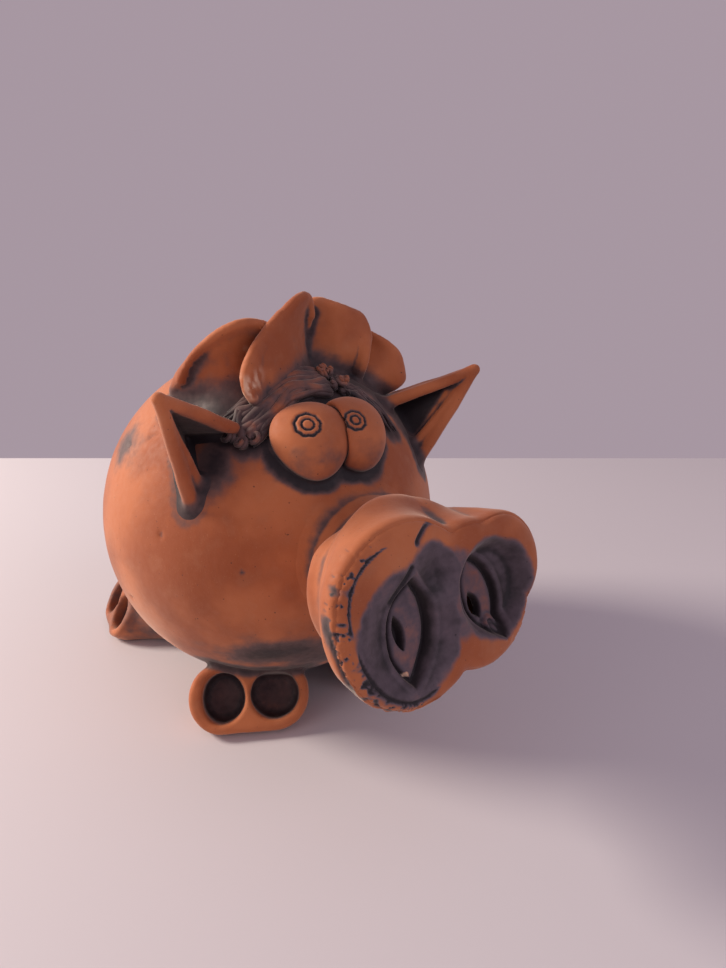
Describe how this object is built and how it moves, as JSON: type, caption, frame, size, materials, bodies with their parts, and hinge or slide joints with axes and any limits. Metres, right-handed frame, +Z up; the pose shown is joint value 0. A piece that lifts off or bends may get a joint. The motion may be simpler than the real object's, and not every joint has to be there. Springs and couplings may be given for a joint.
{
  "type": "figural animal coin bank",
  "caption": "Hand-built terracotta pig money box: a thrown hollow ball on hooves with a trumpet snout, coin slot in the back and a rubber bung in the belly.",
  "frame": {"origin": "on the table, under the middle of the bounding box", "axes": "+Z up, the pig looks along -Y, +X is the pig's left"},
  "size_m": [0.1168, 0.1775, 0.1374],
  "materials": {
    "clay": "matte unglazed terracotta, darkened in the creases",
    "dark_patina": "matte black-violet patina rubbed on terracotta",
    "hair_clay": "matte terracotta with dark patina in the grooves",
    "bung_rubber": "matte black rubber"
  },
  "bodies": {
    "pig": {"body_shell": "clay", "snout_horn": "clay", "snout_face": "dark_patina", "right_eye": "clay", "left_eye": "clay", "right_ear": "clay", "left_ear": "clay", "right_fringe": "hair_clay", "left_fringe": "hair_clay", "forelock_knot": "hair_clay", "bonnet_frill": "clay", "front_right_hoof": "clay", "front_left_hoof": "clay", "rear_right_hoof": "clay", "rear_left_hoof": "clay", "curly_tail": "clay"},
    "bung": {"belly_bung": "bung_rubber"}
  },
  "joints": [
    {"name": "bung_pull", "type": "slide", "parent": "pig", "child": "bung", "axis": [0, 0, -1], "range_m": [0, 0.02]}
  ]
}
